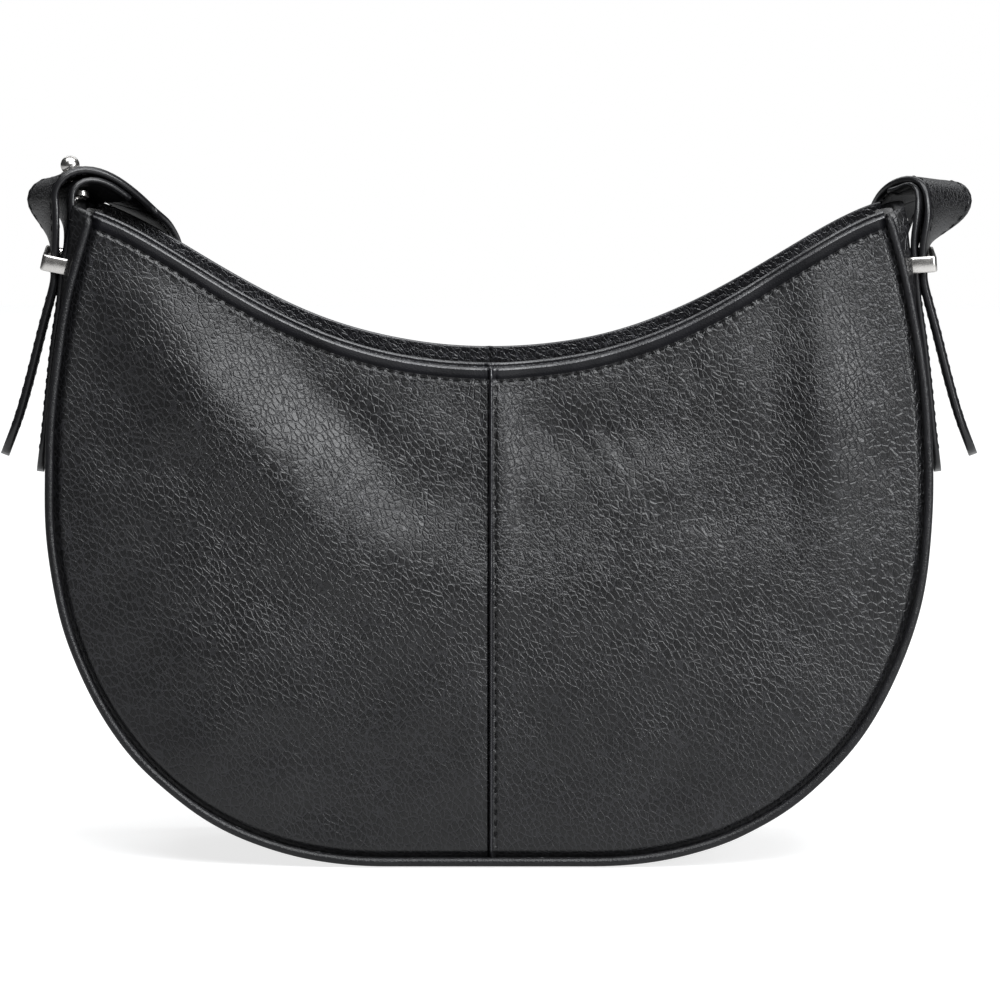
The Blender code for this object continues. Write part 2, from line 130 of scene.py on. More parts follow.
def closed_shell(name, outer, inner, mats, flip):
    """A closed solid between two grids of points of the same shape."""
    rows, cols = outer.shape[:2]
    count = rows * cols
    points = np.concatenate([outer.reshape(-1, 3), inner.reshape(-1, 3)])
    faces = grid_faces(rows, cols, 0, flip=flip) + grid_faces(rows, cols, count, flip=not flip)
    rim = [i * cols for i in range(rows)] + [(rows - 1) * cols + j for j in range(1, cols)]
    rim += [i * cols + cols - 1 for i in range(rows - 2, -1, -1)] + list(range(cols - 2, 0, -1))
    for k, a in enumerate(rim):
        b = rim[(k + 1) % len(rim)]
        quad = (a, a + count, b + count, b)
        faces.append(quad[::-1] if flip else quad)
    return mesh_object(name, points, faces, mats)


def smoothstep(low, high, value):
    t = np.clip((value - low) / (high - low), 0, 1)
    return t * t * (3 - 2 * t)


def hill(value, middle, width):
    return np.exp(-(((value - middle) / width) ** 2))


def sampled(at, places, data):
    """Rows of data, known at places, read off at the places asked for."""
    return np.stack([np.interp(at, places, column) for column in data.T], axis=-1)


def arc_length(points):
    """Distance of each point along the run, from 0."""
    return np.concatenate([[0], np.cumsum(np.linalg.norm(np.diff(points, axis=0), axis=1))])


def graded(total, fine_start, fine_end, start_step, end_step, middle_step):
    """Places from 0 to 1 along a length, with small steps near both ends."""
    first = np.arange(0, fine_start, start_step)
    last = total - np.arange(0, fine_end, end_step)[::-1]
    steps = int((total - fine_start - fine_end) / middle_step)
    middle = np.linspace(fine_start, total - fine_end, steps + 1)
    return np.concatenate([first, middle, last[last > middle[-1] + 0.5 * end_step]]) / total


# ---------------------------------------------------------------- outline of the body

def right_outline(count=900):
    """Points (x, z) from the middle of the bottom up to the right top corner."""
    angle = np.linspace(0, math.pi / 2, 400)
    low_x = FLAT_HALF + (WIDE_HALF - FLAT_HALF) * np.sin(angle) ** (2 / LOWER_POWER)
    low_z = WIDE_Z * (1 - np.clip(np.cos(angle), 0, 1) ** (2 / LOWER_POWER))
    rise = np.linspace(0, 1, 200)[1:]
    high_x = WIDE_HALF - (WIDE_HALF - CORNER_X) * rise**UPPER_POWER
    high_z = WIDE_Z + (CORNER_Z - WIDE_Z) * rise
    x = np.concatenate([[0], low_x, high_x])
    z = np.concatenate([[0], low_z, high_z])
    points = np.stack([x, z], axis=1)
    length = arc_length(points)
    return sampled(np.linspace(0, length[-1], count), length, points)


def outward(points):
    step = np.gradient(points, axis=0)
    normal = np.stack([step[:, 1], -step[:, 0]], axis=1)
    return normal / np.linalg.norm(normal, axis=1)[:, None]


OUTLINE = right_outline()
OUTLINE_N = outward(OUTLINE)


def full_outline(count):
    """Rows (x, z, nx, nz) from the left top corner round the bottom to the right one."""
    right = np.concatenate([OUTLINE, OUTLINE_N], axis=1)
    both = np.concatenate([np.flip(right, 0)[:-1] * (-1, 1, -1, 1), right])
    return sampled(np.linspace(0, len(both) - 1, count), np.arange(len(both)), both)


def half_depth(z):
    """Half of the bag's depth, which narrows towards the top."""
    return DEPTH_HALF - TAPER * z


def mouth_rise(r):
    """Rise of the mouth's curve, 0 to 1, at a share r of the way from the seam to the corner."""
    return r * r + 1.2 * r**4 * (1 - r)


def panel_xz(us, vs, inset):
    """Arrays X, Z, U, V on the right half: u from the centre seam out, v from the bottom up."""
    edge = OUTLINE - OUTLINE_N * inset
    bend = int(BEND_AT * len(edge))
    lower, side = edge[: bend + 1], edge[bend:]
    end_x, end_z = edge[-1]

    def along(curve, t):
        return sampled(t * (len(curve) - 1), np.arange(len(curve)), curve)

    def top(u):
        return np.stack([u * end_x, MOUTH_Z + (end_z - MOUTH_Z) * mouth_rise(u)], axis=-1)

    u, v = np.meshgrid(us, vs, indexing="ij")
    seam = np.stack([0 * v, inset + v * (MOUTH_Z - inset)], axis=-1)
    a, b = u[..., None], v[..., None]
    corners = (1 - a) * (1 - b) * lower[0] + a * (1 - b) * lower[-1]
    corners = corners + (1 - a) * b * top(np.array(0.0)) + a * b * top(np.array(1.0))
    sides = (1 - b) * along(lower, u) + b * top(u) + (1 - a) * seam + a * along(side, v)
    xz = sides - corners
    return xz[..., 0], xz[..., 1], u, v


def belly(u, v):
    """Even swell of a panel, fullest low on it and beside the seam."""
    swell = (1 - u**2.4) * (1 - (1 - v) ** 2.4)
    return BELLY * swell * (1 - 0.72 * v**3)


def edge_distance(x, z, inset):
    """Distance of each point from the panel's outer edge."""
    edge = (OUTLINE - OUTLINE_N * inset)[::6]
    flat = np.stack([x.ravel(), z.ravel()], axis=1)
    nearest = np.full(len(flat), 1e9)
    for a, b in zip(edge, edge[1:]):
        d = b - a
        t = np.clip(((flat - a) @ d) / (d @ d), 0, 1)
        nearest = np.minimum(nearest, np.linalg.norm(flat - (a + t[:, None] * d), axis=1))
    return nearest.reshape(x.shape)


# ---------------------------------------------------------------- relief of the soft panels

def waves(x, z, seed, length, count=9):
    """Smooth uneven swell, about -1 to 1, with waves of about the given length."""
    rng = np.random.default_rng(seed)
    total = 0 * x
    for _ in range(count):
        angle = rng.uniform(0, math.pi)
        k = 2 * math.pi / (length * rng.uniform(0.75, 1.5))
        total = total + np.sin(k * (x * math.cos(angle) + z * math.sin(angle)) + rng.uniform(0, 6.28))
    return total / math.sqrt(count)


def slanted(x, z, middle, slant, size):
    """A soft hill round a middle point, turned by slant, with two half widths."""
    dx, dz = x - middle[0] * MM, z - middle[1] * MM
    along = dx * math.cos(slant) + dz * math.sin(slant)
    across = -dx * math.sin(slant) + dz * math.cos(slant)
    return np.exp(-((along / (size[0] * MM)) ** 2) - (across / (size[1] * MM)) ** 2)


# Soft rolls (+) and dents (-): middle x, z, slant in degrees, half widths along and across, height, in mm
FRONT_HILLS = [
    (-67, 119, -48, 46, 14, 4.6),
    (-20, 84, -16, 40, 15, 2.0),
    (-48, 134, -48, 34, 9, -2.2),
    (3.4, 113, 91, 27, 4.6, 2.1),
    (20, 118, 112, 20, 8, -1.0),
    (37, 122, 6, 22, 11, -2.0),
    (94, 132, 91, 34, 9, 4.3),
    (71, 130, 97, 34, 9, 1.0),
    (60, 85, 6, 50, 14, 1.6),
]
REAR_HILLS = [
    (-50, 116, 50, 42, 16, 2.6),
    (40, 128, 110, 30, 12, -1.6),
    (80, 116, 100, 40, 15, 2.4),
    (-15, 110, 85, 30, 8, -1.0),
    (10, 76, 0, 60, 18, 1.4),
]


def relief(x, z, face, below_edge):
    """How far a panel stands out at (x, z), beyond its even belly."""
    out = 0.35 * MM * waves(x, z, 11 + face, 60 * MM) + 0.10 * MM * waves(x, z, 23 + face, 19 * MM)
    for px, pz, slant, long, short, height in FRONT_HILLS if face < 0 else REAR_HILLS:
        out = out + height * MM * slanted(x, z, (px, pz), math.radians(slant), (long, short))
    # creases in the dent right of the seam, and drawn-in puckers along the mouth's stitching
    crease = np.sin((x * 0.80 + z * 0.60) / (1.15 * MM)) * slanted(x, z, (36, 122), 0.3, (22, 17))
    out = out + 0.10 * MM * crease
    pucker = np.sin(x / (1.9 * MM) + 2.0 * np.sin(x / (9 * MM)))
    where = 0.35 + 0.65 * hill(x, 52 * MM, 34 * MM)
    return out + 0.16 * MM * pucker * where * hill(below_edge, 8 * MM, 6 * MM)


def seam_profile(x, z, side):
    """Centre seam: one half rolls in at the seam line, the other has a raised welt and a stitched dip."""
    d = np.abs(x)
    if side < 0:
        return -0.9 * MM * (1 - smoothstep(0, 0.55 * MM, d)) - 0.22 * MM * (1 - smoothstep(0, 5 * MM, d))
    roll = -0.9 * MM * (1 - smoothstep(0, 0.4 * MM, d))
    welt = 0.75 * MM * np.sin(math.pi * np.clip(d / WELT, 0, 1)) ** 0.8
    per_stitch = 0.55 + 0.45 * np.cos(2 * math.pi * z / STITCH)
    return roll + welt - 0.42 * MM * hill(d, SEAM_LINE, 0.42 * MM) * per_stitch


def stitch_dip(along, below, line, depth):
    """Groove along a stitch line, deeper where each stitch lies and pulls the leather in."""
    per_stitch = 0.5 + 0.5 * np.cos(2 * math.pi * along / STITCH)
    slot = hill(below, line, 0.5 * MM) * (0.12 + 0.88 * per_stitch**1.5)
    return -depth * slot + 0.30 * MM * (1 - per_stitch) ** 1.5 * hill(below, line + 0.75 * MM, 0.7 * MM)


# ---------------------------------------------------------------- materials

def principled(name, colour, roughness, metallic=0.0, **more):
    mat = bpy.data.materials.new(name)
    mat.use_nodes = True
    bsdf = mat.node_tree.nodes["Principled BSDF"]
    bsdf.inputs["Base Color"].default_value = (*colour, 1)
    bsdf.inputs["Roughness"].default_value = roughness
    bsdf.inputs["Metallic"].default_value = metallic
    for key, value in more.items():
        bsdf.inputs[key.replace("_", " ")].default_value = value
    return mat


class Graph:
    """Short way to add and join shader nodes."""

    def __init__(self, mat):
        self.tree = mat.node_tree
        self.bsdf = self.tree.nodes["Principled BSDF"]
        self.place = self.add("ShaderNodeTexCoord").outputs["Object"]

    def add(self, kind, inputs=None, **settings):
        node = self.tree.nodes.new(kind)
        for key, value in settings.items():
            setattr(node, key, value)
        for key, value in (inputs or {}).items():
            self.put(node.inputs[key], value)
        return node

    def put(self, socket, value):
        if isinstance(value, bpy.types.NodeSocket):
            self.tree.links.new(value, socket)
        else:
            socket.default_value = value

    def drive(self, name, value):
        self.put(self.bsdf.inputs[name], value)

    def math(self, operation, a, b=0.0, c=0.0):
        return self.add("ShaderNodeMath", {0: a, 1: b, 2: c}, operation=operation).outputs[0]

    def remap(self, value, low, high, to_low=0.0, to_high=1.0):
        inputs = {0: value, 1: low, 2: high, 3: to_low, 4: to_high}
        return self.add("ShaderNodeMapRange", inputs, interpolation_type="SMOOTHSTEP").outputs[0]

    def noise(self, scale, detail=2.0, rough=0.5, where=None, out=0):
        inputs = {"Vector": where or self.place, "Scale": scale, "Detail": detail, "Roughness": rough}
        return self.add("ShaderNodeTexNoise", inputs).outputs[out]

    def cells(self, size, where):
        """Distance from the nearest edge between cells of about the given size."""
        inputs = {"Vector": where, "Scale": 1 / size, "Randomness": 1.0}
        return self.add("ShaderNodeTexVoronoi", inputs, feature="DISTANCE_TO_EDGE").outputs["Distance"]

    def warped(self, scale, amount):
        """The object's coordinates, pushed about by noise."""
        colour = self.noise(scale, 3.0, out=1)
        push = self.add("ShaderNodeVectorMath", {0: colour, 1: (0.5, 0.5, 0.5)}, operation="SUBTRACT")
        inputs = {0: push.outputs[0], 1: (amount,) * 3, 2: self.place}
        return self.add("ShaderNodeVectorMath", inputs, operation="MULTIPLY_ADD").outputs[0]

    def mix(self, share, a, b):
        node = self.add("ShaderNodeMix", {0: share}, data_type="RGBA")
        for socket, value in ((node.inputs[6], a), (node.inputs[7], b)):
            self.put(socket, (*value, 1) if isinstance(value, tuple) else value)
        return node.outputs[2]

    def bump(self, height, distance, strength=1.0, under=None):
        inputs = {"Height": height, "Distance": distance, "Strength": strength}
        if under is not None:
            inputs["Normal"] = under
        return self.add("ShaderNodeBump", inputs).outputs[0]

    def part_of_place(self, letter):
        return self.add("ShaderNodeSeparateXYZ", {0: self.place}).outputs[letter]


def pebbled_leather(name, pebble=1.9, depth=0.13, calm=True, tone=1.0):
    """Black tumbled leather: flat-topped pebbles with narrow edges; calm softens it low and at one end; tone
    scales the base colour, and above 1 it paints light onto the leather.
    """
    mat = principled(name, (0.004, 0.0042, 0.0050), 0.35, Specular_IOR_Level=0.5)
    g = Graph(mat)
    warped = g.warped(210, 1.3 * MM)
    drawn = g.add("ShaderNodeMapping", {"Vector": warped, "Rotation": (0, math.radians(-30), 0),
                                        "Scale": (0.74, 1, 1.25)}, vector_type="TEXTURE").outputs[0]
    big = g.cells(pebble * MM, drawn)
    small = g.cells(0.5 * pebble * MM, warped)
    dome = g.remap(big, 0.0, 0.15)
    fine = g.remap(small, 0.0, 0.16)
    patch = g.noise(38, 2.0)
    share = g.remap(patch, 0.35, 0.68, 0.12, 0.42)
    height = g.math("MULTIPLY_ADD", fine, share, dome)
    grit = g.noise(2600, 3.0, 0.6)
    height = g.math("MULTIPLY_ADD", grit, 0.10, height)
    if calm:
        level = g.math("MULTIPLY_ADD", g.noise(22, 2.0), 0.05, g.part_of_place("Z"))
        across = g.math("MULTIPLY_ADD", g.noise(30, 2.0), 0.04, g.part_of_place("X"))
        low_down = g.remap(level, 0.050, 0.125, 0.42, 1.0)
        strength = g.math("MULTIPLY", low_down, g.remap(across, -0.085, -0.045, 0.4, 1.0))
    else:
        strength = 0.9
    normal = g.bump(height, depth * MM, strength)
    g.drive("Normal", g.bump(g.noise(150, 2.0), 0.16 * MM, 0.5, normal))
    # Painted highlight: the base colour is lighter along a thin net at the pebbles' edges, standing in for
    # light caught there, stronger in some patches
    crease = g.math("MULTIPLY", g.remap(big, 0.02, 0.11, 1.0, 0.0), g.remap(patch, 0.3, 0.7, 0.6, 1.0))
    # tone lightens both colours; a tone above 1 is painted light, a lit copy of the same black leather
    low, high = ((c * tone, c * tone, c * 1.15 * tone) for c in (0.0030, 0.0120))
    g.drive("Base Color", g.mix(crease, low, high))
    rough = g.math("MULTIPLY_ADD", g.noise(60, 3.0), 0.10, g.remap(dome, 0, 1, 0.33, 0.30))
    g.drive("Roughness", rough)
    return mat


def smooth_leather(name, rough, grain, colour, specular):
    """Finer calf-like leather of the piping, tabs and strap: small pores and a satin face."""
    mat = principled(name, colour, rough, Specular_IOR_Level=specular)
    g = Graph(mat)
    place = g.warped(400, 0.6 * MM)
    pores = g.remap(g.cells(0.75 * MM, place), 0.0, 0.32)
    height = g.math("MULTIPLY_ADD", g.noise(3000, 2.0), 0.5, pores)
    normal = g.bump(height, grain * MM, 0.9)
    g.drive("Normal", g.bump(g.noise(210, 3.0), 0.22 * MM, 0.5, normal))
    tone = g.remap(g.noise(90, 3.0), 0.3, 0.7)
    darker = tuple(c * 0.72 for c in colour)
    g.drive("Base Color", g.mix(tone, darker, tuple(c * 1.25 for c in colour)))
    g.drive("Roughness", g.math("MULTIPLY_ADD", g.noise(120, 3.0), 0.14, rough - 0.07))
    return mat


def edge_paint(name):
    """Painted cut edge: nearly smooth, a little glossier, with faint runs."""
    mat = principled(name, (0.007, 0.007, 0.008), 0.30)
    g = Graph(mat)
    g.drive("Normal", g.bump(g.noise(700, 3.0), 0.10 * MM, 0.6))
    return mat


def thread(name):
    """Waxed thread: fine twist lines."""
    mat = principled(name, (0.003, 0.003, 0.0035), 0.6, Specular_IOR_Level=0.2)
    g = Graph(mat)
    wave = g.add("ShaderNodeTexWave", {"Vector": g.place, "Scale": 900.0, "Distortion": 3.0})
    g.drive("Normal", g.bump(wave.outputs["Fac"], 0.06 * MM, 0.7))
    return mat


def lining_cloth(name):
    """Matt twill lining: fine diagonal ribs and slight fading."""
    mat = principled(name, (0.035, 0.034, 0.034), 0.86, Sheen_Weight=0.25, Sheen_Roughness=0.5)
    g = Graph(mat)
    turned = g.add("ShaderNodeMapping", {"Vector": g.place, "Rotation": (0, math.radians(38), 0)})
    ribs = g.add("ShaderNodeTexWave", {"Vector": turned.outputs[0], "Scale": 620.0, "Distortion": 0.6})
    weft = g.add("ShaderNodeTexWave", {"Vector": g.place, "Scale": 980.0}, bands_direction="Z")
    height = g.math("MULTIPLY_ADD", weft.outputs["Fac"], 0.4, ribs.outputs["Fac"])
    g.drive("Normal", g.bump(height, 0.10 * MM, 0.8))
    fade = g.remap(g.noise(30, 3.0), 0.3, 0.7)
    g.drive("Base Color", g.mix(fade, (0.028, 0.027, 0.027), (0.046, 0.044, 0.043)))
    return mat


def nickel(name, rough):
    """Polished nickel with faint hairlines and a little clouding."""
    mat = principled(name, (0.70, 0.68, 0.655), rough, 1.0)
    g = Graph(mat)
    stretch = g.add("ShaderNodeMapping", {"Vector": g.place, "Scale": (1, 12, 1)})
    lines = g.noise(900, 2.0, where=stretch.outputs[0])
    g.drive("Roughness", g.math("MULTIPLY_ADD", lines, 0.10, rough - 0.04))
    g.drive("Normal", g.bump(lines, 0.01 * MM, 0.4))
    return mat


def stiff_board(name):
    mat = principled(name, (0.28, 0.22, 0.16), 0.85)
    g = Graph(mat)
    speck = g.remap(g.noise(900, 4.0), 0.35, 0.65)
    g.drive("Base Color", g.mix(speck, (0.22, 0.17, 0.12), (0.33, 0.27, 0.20)))
    g.drive("Normal", g.bump(speck, 0.08 * MM, 0.6))
    return mat


PEBBLED = pebbled_leather("pebbled_leather")
# Facings: the same black leather with its base colour three times lighter, painted light where they face the
# lamps
FACING = pebbled_leather("facing_leather", 1.5, 0.17, calm=False, tone=3.0)
SMOOTH = smooth_leather("smooth_leather", 0.38, 0.05, (0.005, 0.005, 0.006), 0.38)
STRAP = pebbled_leather("strap_leather", 1.3, 0.12, calm=False)
BAND = smooth_leather("band_leather", 0.50, 0.03, (0.003, 0.003, 0.004), 0.10)
INNER = smooth_leather("inner_leather", 0.55, 0.05, (0.004, 0.004, 0.005), 0.10)
LIPS = smooth_leather("lip_leather", 0.30, 0.03, (0.010, 0.010, 0.012), 0.6)
EDGE = edge_paint("edge_paint")
THREAD = thread("waxed_thread")
CLOTH = lining_cloth("lining_cloth")
TAPE = lining_cloth("zip_tape")
NICKEL = nickel("polished_nickel", 0.25)
BOARD = stiff_board("stiffener_board")


def finish_piece(obj, body, slot, *nodes):
    """Rides the piece on its body and hides the CAD nodes that it stands for; the slot argument is not used.

    A piece that should bend gets a tuple of two bodies and the places where the bend starts and ends; it is
    only baked in place, neither attached nor bent, and the tuple's contents are not used.
    """
    if isinstance(body, tuple):
        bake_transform(obj)
    else:
        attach(obj, body)
    if nodes:
        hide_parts(*nodes)
    return obj


# ---------------------------------------------------------------- stitches

def stitches(name, line, normals, body, along=None, radius=THREAD_R):
    """Thread stitches along a run of points: each a small rounded bar whose ends dive into the leather.

    along gives each point's place in stitch lengths times STITCH; without it, stitches are spread evenly.
    """
    line, normals = np.asarray(line), np.asarray(normals)
    if along is None:
        length = arc_length(line)
        count = max(int(length[-1] / STITCH), 1)
        places = (np.arange(count) + 0.5) * length[-1] / count
    else:
        length = np.asarray(along)
        places = np.arange(math.ceil(length[0] / STITCH + 0.5), int(length[-1] / STITCH - 0.5) + 1) * STITCH
    half = 0.31 * STITCH  # half of one stitch's length
    rings, sides = 7, 8
    points, faces = [], []
    for middle in places:
        start = len(points)
        ahead = sampled(middle + 0.3 * MM, length, line) - sampled(middle - 0.3 * MM, length, line)
        ahead = ahead / np.linalg.norm(ahead)
        for r in range(rings):
            t = -1 + 2 * r / (rings - 1)
            place = sampled(middle + t * half, length, line)
            up = sampled(middle + t * half, length, normals)
            across = np.cross(ahead, up)
            size = radius * (1 - 0.75 * abs(t) ** 4)
            height = radius * (0.75 - 0.91 * abs(t) ** 3.5)
            for k in range(sides):
                a = 2 * math.pi * k / sides
                points.append(place + up * (height + size * 0.8 * math.sin(a)) + across * size * math.cos(a))
        faces += tube_faces(rings, sides, start)
    return finish_piece(mesh_object(name, points, faces, [THREAD]), body, "smooth_leather")


def grid_normals(grid):
    du, dv = np.gradient(grid, axis=(0, 1))
    normal = np.cross(du, dv)
    return normal / np.linalg.norm(normal, axis=2)[..., None]


# ---------------------------------------------------------------- panels and facings

PANEL_US = graded(118 * MM, 5 * MM, 4 * MM, 0.18 * MM, 0.45 * MM, 0.62 * MM)
PANEL_VS = graded(140 * MM, 4 * MM, 8 * MM, 0.5 * MM, 0.27 * MM, 1.05 * MM)
MOUTH_LINE = 3.1 * MM  # stitch line below the folded edge of the mouth
LIP = 1.4 * MM  # how far the facing's edge stands above the panel's
WELT = 1.2 * MM  # width of the smooth raised welt beside the centre seam
SEAM_LINE = 1.95 * MM  # stitch line beside the welt


def panel_surface(side, face, us=PANEL_US, vs=PANEL_VS):
    """Outer surface of one half panel, with x and y signed; also the distance below the mouth's edge."""
    x, z, u, v = panel_xz(us, vs, PANEL_INSET)
    below = np.hypot(x - x[:, -1:], z - z[:, -1:])
    edge = edge_distance(x, z, PANEL_INSET)
    columns = zip(below, np.stack([x, z], axis=-1))
    line = np.array([sampled(-MOUTH_LINE, -depth, column) for depth, column in columns])
    along = arc_length(line)[:, None]
    swell = belly(u, v) + relief(side * x, z, face, below) * smoothstep(0, 14 * MM, edge)
    seam_side = side if face < 0 else -side
    detail = seam_profile(x, z, seam_side)
    detail = detail + stitch_dip(along, below, MOUTH_LINE, 0.75 * MM) * smoothstep(0, 3 * MM, edge)
    roll = -1.7 * MM * (1 - smoothstep(0, 3.2 * MM, edge)) ** 1.6
    pad = 0.22 * MM * hill(below, 1.5 * MM, 0.9 * MM) - 0.12 * MM * (1 - smoothstep(0, 0.5 * MM, below))
    y = half_depth(z) + PANEL_LIFT + swell + detail + roll + pad
    return np.stack([side * x, face * y, z], axis=-1), below, along[:, 0]


def folded_top(outer, face, thick, steps=6):
    """Rows that roll the top edge over to the inside, as a half circle."""
    rows = []
    radius = thick / 2
    for k in range(1, steps):
        a = math.pi * k / steps
        row = outer[:, -1].copy()
        row[:, 1] -= face * radius * (1 - math.cos(a))
        row[:, 2] += radius * math.sin(a)
        rows.append(row)
    return np.stack(rows, axis=1)


def leather_half(name, side, face, outer, thick, mats, smooth_rows, node, smooth_columns=0):
    """A leather piece with its own thickness and a folded top edge.

    Its top rows take the second material; the fold, and the first columns beside the seam, the third.
    """
    inner = outer.copy()
    inner[..., 1] -= face * thick
    fold = folded_top(outer, face, thick)
    sheet = np.concatenate([outer, fold, inner[:, ::-1]], axis=1)
    rows, cols = sheet.shape[:2]
    flip = side * face > 0
    faces = grid_faces(rows, cols, 0, wrap=True, flip=flip)
    up = outer.shape[1]
    kinds = []
    for i in range(rows - 1):
        for j in range(cols):
            glossy = i < smooth_columns and j < up or up - 1 <= j < up + fold.shape[1]
            kinds.append(2 if glossy else int(up - smooth_rows <= j < up))
    for i in (0, rows - 1):
        half = cols // 2
        strip = [(i * cols + j, i * cols + j + 1, i * cols + cols - 2 - j, i * cols + cols - 1 - j)
                 for j in range(half - 1)]
        forward = flip if i else not flip
        faces += [s if forward else s[::-1] for s in strip]
    kinds += [0] * (len(faces) - len(kinds))
    obj = mesh_object(name, sheet.reshape(-1, 3), faces, mats, kinds)
    return finish_piece(obj, "bag", "pebbled_leather", node)


def mouth_line(outer, below, face, distance):
    """Points and normals on a panel at a fixed distance below the mouth's edge."""
    normals = grid_normals(outer)
    if normals[len(normals) // 2, 5, 1] * face < 0:
        normals = -normals
    points, ups = [], []
    for i in range(outer.shape[0]):
        order = np.argsort(below[i])
        points.append(sampled(distance, below[i][order], outer[i, order]))
        ups.append(sampled(distance, below[i][order], normals[i, order]))
    return np.array(points), np.array(ups)


def panels():
    for face, where in WALLS:
        for side, hand in SIDES:
            outer, below, along = panel_surface(side, face)
            has_welt = side * face < 0
            welt_columns = int((np.abs(outer[:, 40, 0]) < WELT - 0.2 * MM).sum()) if has_welt else 0
            outer[0, :, 0] = -side * OVERLAP
            smooth_rows = int((below[len(below) // 2] < MOUTH_LINE - 0.4 * MM).sum())
            leather_half(
                f"{where}_panel_skin_{hand}", side, face, outer, PANEL_T, [PEBBLED, BAND, LIPS], smooth_rows,
                f"{where}_panel_{hand}", welt_columns,
            )
            line, ups = mouth_line(outer, below, face, MOUTH_LINE)
            keep = np.abs(line[:, 0]) > 2.6 * MM
            name = f"{where}_mouth_stitches_{hand}"
            stitches(name, line[keep][:-2], ups[keep][:-2], "bag", along[keep][:-2])
            if has_welt:
                column = int(np.argmin(np.abs(np.abs(outer[:, 40, 0]) - SEAM_LINE)))
                normals = grid_normals(outer)
                normals = normals * np.sign(normals[5, 5, 1] * face)
                run = outer[column, 6:-16]
                stitches(f"{where}_seam_stitches", run, normals[column, 6:-16], "bag", run[:, 2])


def facings():
    us = graded(112 * MM, 5 * MM, 3 * MM, 0.3 * MM, 0.6 * MM, 1.6 * MM)
    vs = np.concatenate([np.linspace(FACING_FROM, 0.965, 22), np.linspace(0.97, 1.0, 9)])
    for face, where in WALLS:
        for side, hand in SIDES:
            x, z, u, v = panel_xz(us, vs, PANEL_INSET + 0.4 * MM)
            below = np.hypot(x - x[:, -1:], z - z[:, -1:])
            swell = belly(u, v) + relief(side * x, z, face, 99 * MM) * smoothstep(0, 14 * MM, 125 * MM - x)
            y = half_depth(z) + PANEL_LIFT + swell - FACING_IN - 0.15 * MM
            y = y - 0.2 * MM * hill(below, MOUTH_LINE, 0.8 * MM)
            inward = 0.35 * MM * smoothstep(6 * MM, 26 * MM, below)
            y = y - inward + 0.7 * MM * (1 - smoothstep(0, 1.2 * MM, x))
            outer = np.stack([side * x, face * y, z], axis=-1)
            outer[..., 2] += LIP
            outer[0, :, 0] = -side * OVERLAP
            leather_half(
                f"{where}_facing_skin_{hand}", side, face, outer, FACING_T, [FACING, BAND, LIPS], 2,
                f"{where}_facing_{hand}",
            )


# ---------------------------------------------------------------- gusset, piping and lining

FOLD = 2.3 * MM  # how far the ends' folded leather stands out beside the piping
TOP_LIFT = 1.3 * MM  # how far the left end's top stands above the outline's end
ROW_STEP = 1.35 * MM  # about how far apart the rows of the gusset lie


def gusset_belly(z):
    """How far the gusset's middle stands out: drawn in at the sides, full again at the top ends."""
    hollow = -1.8 * MM * np.clip((z - 40 * MM) / (50 * MM), 0, 1)
    rise = np.clip((z - 150 * MM) / (CORNER_Z - 150 * MM), 0, None)
    return hollow + 5.0 * MM * rise**3.2


def gusset_strip(name, depth_in, thick, margin, mat, slot, node, rows=420, across=26, hem=0.0):
    """A strip round the bag from top corner to top corner; hem is how much thicker its turned-in ends are."""
    runs = full_outline(rows)
    w = np.linspace(-1, 1, across + 1)
    w = np.sign(w) * np.abs(w) ** 0.8
    x, z, nx, nz = (runs[:, k][:, None] for k in range(4))
    half = half_depth(z) - margin
    swell = gusset_belly(z) * (1 - np.abs(w) ** (2 + 1.6 * smoothstep(150 * MM, 172 * MM, z)))
    swell = swell + 0.25 * MM * waves(runs[:, :1] + 0 * w, w * half, 5, 34 * MM) * (1 - w**2) * (z > 12 * MM)
    groove = -1.0 * MM * smoothstep(0.90, 1.0, np.abs(w))
    fold = smoothstep(148 * MM, 166 * MM, z) * (1 - 0.6 * smoothstep(176 * MM, 183 * MM, z))
    swell = swell + FOLD * fold * hill(w, -0.74, 0.14)
    ends = np.minimum(np.arange(rows), np.arange(rows)[::-1])[:, None] * ROW_STEP
    hem_pad = hem * (1 - smoothstep(5.2 * MM, 6.0 * MM, ends))
    hem_pad = hem_pad - 0.5 * hem * hill(ends, 4.0 * MM, 0.9 * MM)
    lift = TOP_LIFT * (1 - smoothstep(0, 12 * MM, ends)) * np.where(x < 0, 1, 0.6) if hem else 0
    turned_in = 3.0 * hem * (1 - smoothstep(5.0 * MM, 5.8 * MM, ends))

    def layer(offset):
        out = swell + groove + hem_pad - offset
        return np.stack([x + nx * out, w * half, z + nz * out + lift], axis=-1)

    obj = closed_shell(name, layer(depth_in), layer(depth_in + thick + turned_in), [mat], flip=True)
    return finish_piece(obj, "bag", slot, node), layer(depth_in)


def hem_stitches(surface, hand, first):
    """Stitch line across the turned top end of the gusset."""
    row = surface[3 if first else -4]
    normal = grid_normals(surface)[3 if first else -4]
    out = np.sign(normal[len(row) // 2, 0] * (-1 if first else 1))
    stitches(f"gusset_hem_stitches_{hand}", row[2:-2], normal[2:-2] * out, "bag")


